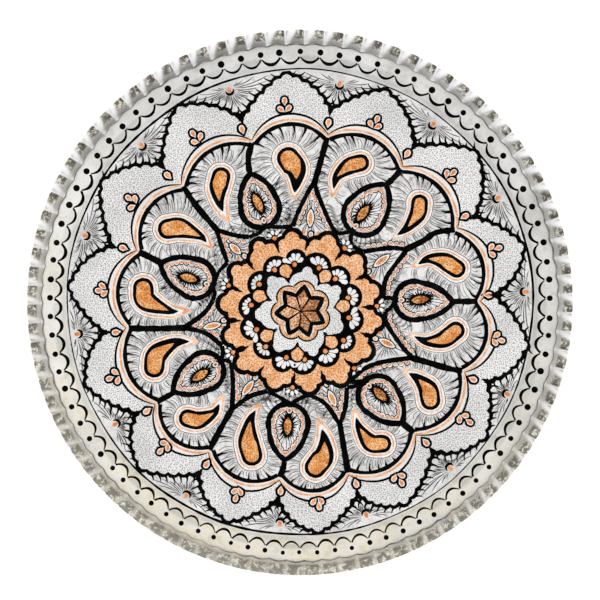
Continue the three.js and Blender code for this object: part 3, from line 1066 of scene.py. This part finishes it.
def makeEyes():
    hatch, dashes, halos, lashes, rings, rims, cores = newMeshes(7)
    for number, (path, eye) in enumerate(zip(eyePaths, eyes["list"]), 1):
        middle, radius, tip, lensStart, lensEnd = [vec(v) if hasattr(v, "__len__") else v for v in eye]
        bm = bmesh.new()
        widths = [eyes["halfWidth"] * chance.uniform(0.85, 1.18) for i in range(len(path))]
        bead(bm, path, widths, layer(2.4), 0.12, flat)
        addPiece(f"eyeOutline{number}", bm, lacquer, [f"lacquer_eye_outline_{number}"],
                 smooth=False)
        dashesAlong((rings, halos, dashes), path, eyes["dashInset"], eyes["dashPitch"])
        ahead = (lensEnd - lensStart).normalized()
        centre = (lensStart + lensEnd) / 2
        side = leftOf(ahead)
        for bm, (wide, drawnIn), lift in ((rings, eyes["lensRing"], 1.4), (cores, eyes["lensCore"], 2.8)):
            lens(bm, lensStart + ahead * drawnIn, lensEnd - ahead * drawnIn, wide, layer(lift), 0.05, 0,
                 flat, 12)
        for k in range(eyes["rays"]):
            way = onCircle(360 * (k + chance.uniform(-0.3, 0.3)) / eyes["rays"], 1)
            room = reach(centre, way, [path], 20)
            if room > 7:
                ray = arc(centre + way * (5.4 + chance.uniform(0, 1)), centre + way * (room - 4), 0.2, 3)
                bead(hatch, ray, tapered(4, chance.uniform(0.16, 0.26), 0.6, 0.4), layer(0.5), 0.05)
        for k in range(eyes["lashes"]):
            turn = 2 * math.pi * (k + chance.uniform(-0.25, 0.25)) / eyes["lashes"]
            longWay, shortWay = eyes["lashOval"]
            out = ahead * math.cos(turn) * longWay + side * math.sin(turn) * shortWay
            way = out.normalized()
            lashEnd = centre + out + way * chance.uniform(1.4, 3.2)
            tick(lashes, centre + out * 0.86, lashEnd, 0.5, layer(1.3), chance.uniform(-0.2, 0.2))
        back = (middle - tip).normalized()
        spot = middle + back * (radius - eyes["dropInset"])
        ringedDrop((rings, rims, cores), spot, back, eyes["dropSize"])
    addPiece("eyeHatching", hatch, greyLine)
    addPiece("eyeHalos", halos, raisedTin)
    addPiece("eyeDashes", dashes, redCopper)
    addPiece("eyeLashes", lashes, lacquer)
    addPiece("eyeLensRings", rings, lacquer, smooth=False)
    addPiece("eyeDropRims", rims, raisedTin, smooth=False)
    addPiece("eyeLenses", cores, burntCopper, smooth=False)


makeEyes()

kites = {
    "lenses": [((6, 51), (5.5, 42)), ((41, 20), (49, 26)), ((44, -20.5), (52, -24.5)),
               ((16, -49), (19.5, -57)), ((-26, -43.5), (-31.5, -51)), ((-53, -14), (-44, -12)),
               ((-38.5, 32), (-33, 27))],
    "drops": [(6, 37.5), (37.5, 17), (41.5, -20), (14.5, -45), (-24.5, -41.5), (-42, -10), (-30.5, 25.5)],
    "strokes": 26,
    "dashInset": 2.5,
    "dashPitch": 3.1,
    "dropSize": 2.0,
    "sideDrops": 3.9,
}


def makeKites():
    dashes, halos, rings, rims, cores, strokes = newMeshes(6)
    for (left, right), (start, end), spot in zip(kitePaths, kites["lenses"], kites["drops"]):
        start, end, spot = vec(start), vec(end), vec(spot)
        if (end - heart).length < (start - heart).length:
            start, end = end, start
        for path, inset in ((left, -kites["dashInset"]), (right, kites["dashInset"])):
            dashesAlong((rings, halos, dashes), path, inset, kites["dashPitch"])
        for bm, further, wide, lift in ((rings, 0.16, 2.5, 1.6), (rims, 0.06, 1.9, 2.4),
                                        (cores, -0.06, 1.2, 3.2)):
            more = (end - start) * further
            lens(bm, start - more, end + more, wide, layer(lift), 0.05, 0, flat, 10)
        ringedDrop((rings, rims, cores), spot, spot - heart, kites["dropSize"])
        outward = (spot - heart).normalized()
        for side in (-1, 1):   # small drops beside the ringed one
            across = leftOf(outward) * side * kites["sideDrops"]
            place = spot + across + outward
            lens(dashes, place - outward * 1.4, place + outward * 1.4, 0.9, layer(2), 0.06, 0, domed, 5)
        centre = (start + end) / 2
        for k in range(kites["strokes"]):
            way = onCircle(360 * (k + chance.uniform(-0.3, 0.3)) / kites["strokes"], 1)
            room = reach(centre, way, [left, right, ringEdge], 14)
            if room > 4:
                bead(strokes, arc(centre + way * 2.6, centre + way * (room - 2.6), 0.2, 3),
                     tapered(4, 0.26, 0.6, 0.4), layer(0.5), 0.05)
    addPiece("kiteHalos", halos, raisedTin)
    addPiece("kiteDashes", dashes, redCopper)
    addPiece("kiteRings", rings, lacquer, smooth=False)
    addPiece("kiteRims", rims, raisedTin, smooth=False)
    addPiece("kiteLenses", cores, dropCopper, smooth=False)
    addPiece("kiteStrokes", strokes, greyLine)


makeKites()
print("eyes and kites made")


# the rosette in the middle

shells = {
    "leaves": 5,
    "spread": 122,
    "cornerSpread": 170,
    "shortestLeaf": 3.2,
    "partHalfWidth": 0.56,
    "dotRadius": 1.25,
    "bowRadius": 1.75,
    "bowHalfTurn": 100,
}


def shell(leaves, dots, crescents, spot, outward, reachOut, spread):
    count = shells["leaves"]
    for k in range(count):
        turn = math.radians(spread * (k / (count - 1) - 0.5))
        way = turned(outward, turn)
        far = reachOut(spot, way)
        if far < shells["shortestLeaf"]:
            continue
        size = min(1.25, far * 0.2)
        comma(leaves, [spot + way * (far - size), spot + way * (far * 0.55), spot + way * 1.6], size, 0,
              layer(3.6), 0.05, flat, 9)
        if k < count - 1:   # a black line parts it from the next leaf
            way = (way + turned(outward, turn + math.radians(spread / (count - 1)))).normalized()
            tick(crescents, spot + way * far, spot + way * 2, shells["partHalfWidth"], layer(3.9), 0, 0.06, 3)
    disc(dots, spot, shells["dotRadius"], layer(3.8), 0.1, 12, 1.15, math.atan2(outward.y, outward.x))
    bow = bowAround(spot, outward, shells["bowRadius"], shells["bowHalfTurn"], 8)
    bead(crescents, bow, tapered(9, 0.5), layer(3.8), 0.06)


def addPlate(name, outline, level, thickness, material, replaces=()):
    bm = bmesh.new()
    plate(bm, outline, layer(level), thickness)
    addPiece(name, bm, material, replaces, smooth=False)


def valleyThorns(bm, corners, before, after, halfWidth, lift, bend=0.0):
    for spot in corners[:-1:3]:   # every third corner is a valley
        spot = vec(spot)
        inward = (heart - spot).normalized()
        tick(bm, spot - inward * before, spot + inward * after, halfWidth, lift, bend)


def makeRosette():
    addPlate("rosetteCopperRing", ringEdge, 2, 0.13, paleCopper)
    bm = bmesh.new()
    path = []
    widths = []
    for i, (spot, side) in enumerate(zip(ringEdge, sidewaysOf(ringEdge))):
        away = min(1.0, 0.15 + min(i % 18, 18 - i % 18) / 4)   # the line thins into each valley
        path.append(spot - side * 1.0 * away)
        widths.append(rosette["outerHalfWidth"] * (0.4 + 0.6 * away) * chance.uniform(0.85, 1.15))
    widths[-1] = widths[0]
    bead(bm, path, widths, layer(3), 0.12, flat)
    valleyThorns(bm, rosette["outer"], 0.8, 2.4, 0.75, layer(3.2), 0.2)
    addPiece("rosetteOuterLine", bm, lacquer, ["lacquer_rosette_outer_line"], smooth=False)
    addPlate("rosetteShellGround", shellEdge, 3, 0.13, lacquer, ["lacquer_rosette_scallop_line"])

    leaves, dots, crescents = newMeshes(3)
    for spot in rosette["shellDots"]:
        spot = vec(spot)
        shell(leaves, dots, crescents, spot, (spot - heart).normalized(),
              lambda origin, way: min(reach(origin, way, [shellEdge], 12) - 2.1, 7.2), shells["spread"])
    addPiece("rosetteShells", leaves, tin, smooth=False)

    addPlate("rosetteField", fieldEdge, 4, 0.13, fieldTin, ["tin_rosette_lining"])
    bm = bmesh.new()
    widths = [rosette["fieldHalfWidth"] * chance.uniform(0.85, 1.15) for i in range(len(fieldEdge))]
    widths[-1] = widths[0]
    bead(bm, fieldEdge, widths, layer(4.4), 0.1, flat)
    valleyThorns(bm, rosette["field"], 0.6, 1.8, 1.15, layer(4.6))
    addPiece("rosetteFieldLine", bm, lacquer, ["lacquer_field_line"], smooth=False)

    rings, drops = newMeshes(2)
    for spot in rosette["drops"]:
        spot = vec(spot)
        inward = (heart - spot).normalized()
        for bm, radius, lift in ((rings, 4.1, 4.9), (drops, rosette["dropRadius"], 5.6)):
            comma(bm, [spot - inward * 0.3, spot + inward * 2, spot + inward * (radius + 1.4)], radius, 0,
                  layer(lift), 0.04, flat, 14)
    addPiece("rosetteDropRings", rings, lacquer, smooth=False)
    addPiece("rosetteDrops", drops, paleCopper, smooth=False)

    turns = sorted(rosette["starTurns"])
    between = [(a + b) / 2 for a, b in zip(turns, turns[1:] + [turns[0] + 360])]
    corners = [onCircle(t, rosette["lobeValley"], heart) for t in between]
    corners.append(corners[0])
    lobed = arcChain(corners, [rosette["lobeBulge"]] * 7, 12)
    bm = bmesh.new()
    bead(bm, movedPath(lobed, 1.35), 0.45, layer(4.4), 0.08)
    addPiece("starFineLine", bm, lacquer, ["lacquer_star_fine_line"])
    bm = bmesh.new()
    bead(bm, lobed, 0.85, layer(4.4), 0.12)
    addPiece("starCopperLine", bm, paleCopper)
    points = []
    for turn, gap in zip(turns, between):
        points += [onCircle(turn, rosette["starTip"], heart), onCircle(gap, rosette["starValley"], heart)]
    points.append(points[0])
    star = arcChain(points, [0.5] * 14, 3)
    addPlate("starGround", star, 5.2, 0.15, lacquer, ["lacquer_star_outline"])
    bm = bmesh.new()
    for turn, before, after in zip(turns, between[-1:] + between, between):
        before = before - 360 if before > turn else before
        low = onCircle(turn, 0.7, heart)
        side = rosette["kiteShoulder"]
        leftTurn, rightTurn = turn + (after - turn) * 0.84, turn - (turn - before) * 0.84
        outline = [low, onCircle(rightTurn, side, heart), onCircle(turn, rosette["kiteTip"], heart),
                   onCircle(leftTurn, side, heart), low]
        plate(bm, arcChain(outline, [0, 0.1, 0.1, 0], 2), layer(6), 0.1)
    addPiece("starKites", bm, darkCopper, smooth=False)

    cornerLeaves = bmesh.new()   # small shells in the corners between the rosette and the eyes
    for spot in rosette["cornerDots"]:
        spot = vec(spot)
        shell(cornerLeaves, dots, crescents, spot, (spot - heart).normalized(),
              lambda origin, way: min(reach(origin, way, eyePaths + kiteSides, 9), 6.0) - 1.4,
              shells["cornerSpread"])
    addPiece("rosetteDots", dots, redCopper)
    addPiece("rosetteCrescents", crescents, lacquer)
    addPiece("cornerShells", cornerLeaves, raisedTin, smooth=False)


makeRosette()
print("rosette made")


# small drops in the petals

petalDrops = {
    "trefoils": [
        ((-8.5, 111), (-10.5, 106.5), (-6.5, 107)), ((39, 98.5), (42.5, 101), (43, 97)),
        ((81, 71), (84.5, 71.5), (83.5, 67.5)), ((105.5, 30.5), (109.5, 30), (106, 26.5)),
        ((108.5, -18), (111, -21), (107.5, -22)), ((91, -62.5), (88, -64.5), (93.5, -66)),
        ((52, -97), (56, -95.5), (56, -99.5)), ((7.5, -110), (11.5, -109.5), (10.5, -112.5)),
        ((-36, -104), (-33, -104.5), (-35.5, -108)), ((-75, -77.5), (-73, -80), (-77, -82)),
        ((-102, -38.5), (-105, -42), (-100.5, -43)), ((-109, 9), (-111, 6.5), (-108, 5)),
        ((-94.5, 57.5), (-91, 57), (-93, 52.5)), ((-59, 93), (-55, 91.5), (-58, 88.5)),
    ],
    "singles": [(15.7, 99), (59.2, 82), (91, 47.5), (104, 4), (95.5, -42.5), (69.5, -77.3), (31, -100),
                (-10.7, -104), (-51.5, -89.3), (-84.5, -60), (-101.5, -16.5), (-97.5, 30), (-73, 70),
                (-32, 95.5)],
    "root": 3.2,
    "rings": [(2.8, 4.4, 1), (1.5, 2.8, 2), (0.95, 2.3, 3)],   # radius, tail and layer: line, rim, core
    "trefoilSize": 0.92,
}


def makePetalDrops():
    rings, rims, cores = newMeshes(3)

    def tripleDrop(centre, way, size=1.0):
        for bm, (wide, tail, lift) in zip((rings, rims, cores), petalDrops["rings"]):
            comma(bm, [centre + way * 0.9, centre, centre - way * tail * size], wide * size, 0,
                  layer(lift), 0.05, flat, 9)

    for trio in petalDrops["trefoils"]:
        trio = [vec(p) for p in trio]
        mean = sum(trio, Vector((0, 0))) / 3
        root = mean - mean.normalized() * petalDrops["root"]
        for centre in trio:
            tripleDrop(centre, (centre - root).normalized(), petalDrops["trefoilSize"])
    for centre in petalDrops["singles"]:
        centre = vec(centre)
        tripleDrop(centre, centre.normalized())
    addPiece("petalDropRings", rings, lacquer, smooth=False)
    addPiece("petalDropRims", rims, raisedTin, smooth=False)
    addPiece("petalDropCores", cores, redCopper, smooth=False)


makePetalDrops()


# the shell fans between the petals

def makeFans():
    rays, dots, crescents = newMeshes(3)
    for k, spot in enumerate(fanSpots):
        barriers = [petalPaths[k], petalPaths[k - 1], floorLine]
        inward = -spot.normalized()
        count = fans["rays"]
        for i in range(count):
            turn = math.radians(fans["spread"] * (2 * (i + chance.uniform(-0.25, 0.25)) / (count - 1) - 1))
            way = turned(inward, turn)
            room = reach(spot, way, barriers, 34)
            if room < 4:
                continue
            far = max(min(room - 3.4, 26), room * 0.62) * chance.uniform(0.86, 1.0)
            near = 3.0 if i % 2 else 4.8
            start = spot + way * min(near, far * 0.5)
            path = arc(start, spot + way * far, far * 0.04 * math.copysign(1, turn), 4)
            widths = [w * chance.uniform(0.6, 1.15) for w in fans["rayWidths"]]
            bead(rays, path, widths, layer(0.6), 0.05)
        disc(dots, spot, fans["dotRadius"], layer(1.6), 0.1, 12, 1.5, math.atan2(inward.y, inward.x))
        bow = bowAround(spot + inward * 0.4, inward, fans["bowRadius"], fans["bowHalfTurn"], 10)
        bead(crescents, bow, tapered(11, 0.8), layer(1.6), 0.08)
    addPiece("fanRays", rays, greyLine)
    addPiece("fanDots", dots, redCopper)
    addPiece("fanCrescents", crescents, lacquer)


makeFans()
print("petals and fans filled")


# the wall's crescents and dots

wall = {
    "crescents": 84,
    "drift": 3.4,          # degrees by which they crowd towards the bottom edge
    "troughRadius": 132.1,
    "tipRadius": 135.3,
    "crescentHalfWidth": 0.8,
    "dotRadius": 1.7,
    "dotsAt": 138.0,
    "finerBelow": 0.24,    # share by which they are finer along the bottom edge
    "lineHalfWidth": 0.42,
    "creaseRadius": 142.5,
}


def wallTurn(number):
    turn = 2 * math.pi * number / wall["crescents"]
    return turn - math.radians(wall["drift"]) * math.cos(turn)


def makeWall():
    crescents, dots = newMeshes(2)
    for number in range(wall["crescents"]):
        start, end = wallTurn(number) + 0.002, wallTurn(number + 1) - 0.002
        trough = wall["troughRadius"] + chance.uniform(-0.4, 0.4)
        depth = wall["tipRadius"] - trough
        path = []
        for i in range(11):
            t = i / 10
            radius = trough + depth * abs(2 * t - 1) ** 2.3
            path.append(onCircle(math.degrees(start + (end - start) * t), radius))
        finer = 1 - wall["finerBelow"] * nearBottom(start) ** 2
        wide = wall["crescentHalfWidth"] * finer * chance.uniform(0.85, 1.2)
        widths = tapered(11, wide, 0.75, 0.35, 0.5)
        bead(crescents, path, widths, layer(1), 0.1)
        turn = math.degrees(wallTurn(number)) + chance.uniform(-0.25, 0.25)
        spot = onCircle(turn, wall["dotsAt"] + chance.uniform(-0.35, 0.35))
        disc(dots, spot, wall["dotRadius"] * finer * chance.uniform(0.88, 1.12), layer(1), 0.06, 14)
    addPiece("wallCrescents", crescents, lacquer)
    addPiece("wallDots", dots, lacquer)
    bm = bmesh.new()
    path = []
    for i in range(241):
        turn = 360 * (i % 240) / 240
        wave = 0.35 * math.sin(math.radians(5 * turn)) + 0.2 * math.sin(math.radians(13 * turn + 40))
        path.append(onCircle(turn, floorEdge - 0.6 + wave))
    swells = [1.15 + 0.45 * math.sin(i * math.pi / 40 + 1) for i in range(len(path))]
    widths = [wall["lineHalfWidth"] * chance.uniform(0.75, 1.25) * swell for swell in swells]
    widths[-1] = widths[0]
    bead(bm, path, widths, layer(1.2), 0.08)
    addPiece("floorEdgeLine", bm, lacquer, ["lacquer_floor_edge_line"])


makeWall()
print("wall pattern made")


# the tin over the floor, the wall and the lip

def polarTable(loop, count=720):   # a loop's radius at even turns about the tray's middle
    table = [0.0] * count
    for a, b in zip(loop, loop[1:]):
        first, last = math.atan2(a.y, a.x), math.atan2(b.y, b.x)
        if last - first > math.pi:
            last -= 2 * math.pi
        if first - last > math.pi:
            last += 2 * math.pi
        steps = max(2, int(abs(last - first) / (math.pi / count)) + 1)
        for i in range(steps + 1):
            spot = a.lerp(b, i / steps)
            place = round(math.atan2(spot.y, spot.x) / (2 * math.pi) * count) % count
            table[place] = max(table[place], spot.length)
    return table


def paint(bm, marks):   # numbers on the points that the finish reads
    layers = {name: bm.verts.layers.float.new(name) for name in marks(0, 0)}
    for vert in bm.verts:
        radius = math.hypot(vert.co.x, vert.co.y)
        found = marks(radius, math.atan2(vert.co.y, vert.co.x))
        for name, value in found.items():
            vert[layers[name]] = value


def makeTinFloor():
    thickness = dish["tinThickness"]
    rings = dish["floorRings"]
    first = wallFace[0][0]
    top = [(first * i / rings, floorTop) for i in range(rings + 1)] + wallFace[1:5]
    bm = spunDish(top + [(r, z - thickness) for r, z in top[::-8]], 440)
    petals = polarTable([p for path in petalPaths for p in path])
    inner = polarTable([p for path in fineLobes for p in path])
    black = polarTable([p for path in blackLobes for p in path])

    def marks(radius, angle):
        place = round(angle / (2 * math.pi) * len(petals)) % len(petals)
        spot = Vector((radius * math.cos(angle), radius * math.sin(angle)))
        found = {"stipple": 0.0, "chased": 0.0, "shade": 0.0}
        if inner[place] < radius < petals[place]:
            found["stipple"] = 1.0
        elif radius < black[place]:
            found["chased"] = 1.0
        elif radius > petals[place]:
            near = min((spot - fan).length for fan in fanSpots)
            found["chased"] = 0.6
            dim = 0.4 + 0.6 * facing(angle, 60)   # dimmer at the upper right
            found["shade"] = max(0.06, 0.3 - near / 40) * dim
            if radius > floorEdge - 0.9:
                found["shade"] = 0.12 + 0.2 * facing(angle, 70)
        return found

    paint(bm, marks)
    addPiece("tinFloor", bm, tin, ["tin_petal_lining", "tin_paisley_lining"])


def creaseAt(angle, block):   # the wavy line where the wall meets the crimped lip
    low = nearBottom(angle) ** 3
    return wall["creaseRadius"] - 0.9 * (1 - block) ** 1.3 + 0.5 * low + 0.15 * math.sin(23 * angle)


def makeTinWall():
    thickness = dish["tinThickness"]
    profile = wallFace[4:]
    bm = spunDish(profile + [(r, z - thickness) for r, z in profile[::-3]] + profile[:1],
                  dish["crimps"] * dish["stepsPerCrimp"])

    def marks(radius, angle):
        out, _, block, strength, phase = pleatAt(radius, angle)
        left = facing(angle, 115)    # darkest at the upper left
        low = facing(angle, 255)
        crease = creaseAt(angle, block)
        # the painted warm reflection grows towards the bottom
        found = {"shade": 0.0, "wearAndShade": 0.0, "warmReflection": 0.1 + 0.5 * low ** 1.5, "shine": 0.0}
        wide = 1.2 + 4.5 * left ** 4
        if radius > crease:
            found["shade"] = max(0.0, 1 - (radius - crease) / wide) * (0.06 + 0.62 * left ** 3)
        else:
            found["shade"] = max(0.0, 1 - (crease - radius) / 1.2) * 0.2
        if radius < 138:   # lacquer wiped into some of the crescents
            turn = angle + math.radians(wall["drift"]) * math.cos(angle)
            number = math.floor(turn / (2 * math.pi) * wall["crescents"])
            smudge = random.Random(number + 500).uniform(-0.5, 0.45)
            found["shade"] = max(0.0, smudge) * max(0.0, 1 - abs(radius - 134.6) / 2.2)
            # painted shade in the cove between the floor's edge line and the crescents
            found["shade"] += 0.3 * max(0.0, 1 - abs(radius - 130.2) / 2.4)
        # painted shade, strongest towards the right
        found["shade"] += 0.12 * facing(angle, 10) ** 2
        if radius > crease:
            # painted highlight just past each pleat's fold; painted shade across the rest of its block and
            # along the bottom edge, mottled with wear in the finish
            white = (0.14 + 0.32 * out) * strength * (1 - 0.6 * low ** 2)
            found["shine"] = min(1.0, max(0.0, 1 - (phase - white) / 0.10)) * (1 - 0.95 * low ** 2)
            ends = min(1.0, max(0.0, (radius - 144.4 + 0.8 * low ** 2) / 1.2))
            dark = max(0.7 * low ** 3, min(1.0, max(0.0, (phase - white - 0.02) / 0.2)))
            found["wearAndShade"] = ends * dark * (0.65 + 0.35 * max(phase, low)) * (1 - 0.3 * low ** 3)
        return found

    paint(bm, marks)
    addPiece("tinWall", bm, wallTin, ["tin_wall_lining"])
    # a thin wavy line of painted shade along the crease, partly lacquer left in it
    bm = bmesh.new()
    path = []
    widths = []
    for i in range(dish["crimps"] * 8 + 1):
        angle = angleFor(2 * math.pi * i / (dish["crimps"] * 8))
        block = pleatAt(wall["creaseRadius"], angle)[2]
        path.append(onCircle(math.degrees(angle), creaseAt(angle, block)))
        widths.append(0.3 + 0.2 * math.sin(7 * angle) * math.sin(3 * angle + 1))
    path[-1] = path[0].copy()
    widths[-1] = widths[0]
    bead(bm, path, widths, layer(0.5), 0.04, flat)
    addPiece("creaseShadeAndLacquerLine", bm, creaseShadeAndLacquer, smooth=False)


makeTinFloor()
makeTinWall()
print("tin made")


# floor, light and camera

studio = {
    "floorSize": 6,
    "floorGap": 0.0002,
    "floorGlow": 0.45,
    "cameraHeight": 2.6,
    "lens": 150,
    "frameWidth": 0.3312,
    "cameraAside": 0.0013,
    "worldColour": (0.88, 0.88, 0.89, 1),
    # name, place, size, brightness and colour
    "softboxes": [
        ("overhead", (0, 0, 4.4), (5, 5), 0.24, (1, 1, 1)),
        ("fromRight", (5, 0, 2.6), (3.6, 3.6), 0.25, (1, 1, 1)),
        ("fromTop", (0, 5, 2.4), (3.6, 3), 0.12, (1, 0.93, 0.78)),
    ],
}


def makeFloor():
    f = Finish("paperFloor")
    grain = f.noise(9, 2)
    colour = f.mix(grain.between(0.3, 0.7), (0.97, 0.97, 0.97), (0.94, 0.94, 0.94))
    material = f.surface(Base_Color=colour, Roughness=0.9, Specular_IOR_Level=0.1,
                         Emission_Color=(1, 1, 1, 1), Emission_Strength=studio["floorGlow"])
    bm = bmesh.new()
    bmesh.ops.create_grid(bm, x_segments=2, y_segments=2, size=studio["floorSize"])
    bmesh.ops.translate(bm, vec=(0, 0, -studio["floorGap"]), verts=bm.verts)
    mesh = bpy.data.meshes.new("paperFloor")
    bm.to_mesh(mesh)
    bm.free()
    mesh.materials.append(material)
    paper = bpy.data.objects.new("paperFloor", mesh)
    bpy.context.scene.collection.objects.link(paper)


def addSoftbox(name, spot, size, watts, colour):
    light = bpy.data.lights.new(name, "AREA")
    light.shape = "RECTANGLE"
    light.size, light.size_y = size
    light.energy = watts
    light.color = colour
    box = bpy.data.objects.new(name, light)
    box.location = spot
    box.rotation_euler = (-Vector(spot)).to_track_quat("-Z", "Y").to_euler()
    bpy.context.scene.collection.objects.link(box)


def radiance(size, level):   # watts that give a softbox this brightness
    return level * math.pi * size[0] * size[1]


makeFloor()
for name, spot, size, level, colour in studio["softboxes"]:
    addSoftbox(name, spot, size, radiance(size, level), colour)

world = bpy.data.worlds.new("studio")
world.use_nodes = True
world.node_tree.nodes["Background"].inputs[0].default_value = studio["worldColour"]
world.node_tree.nodes["Background"].inputs[1].default_value = 1.0
bpy.context.scene.world = world
bpy.context.scene.view_settings.view_transform = "Standard"

camera = bpy.data.cameras.new("camera")
camera.lens = studio["lens"]
camera.sensor_width = studio["frameWidth"] / studio["cameraHeight"] * studio["lens"]
cameraObject = bpy.data.objects.new("camera", camera)
cameraObject.location = (0, studio["cameraAside"], studio["cameraHeight"])
bpy.context.scene.collection.objects.link(cameraObject)
bpy.context.scene.camera = cameraObject
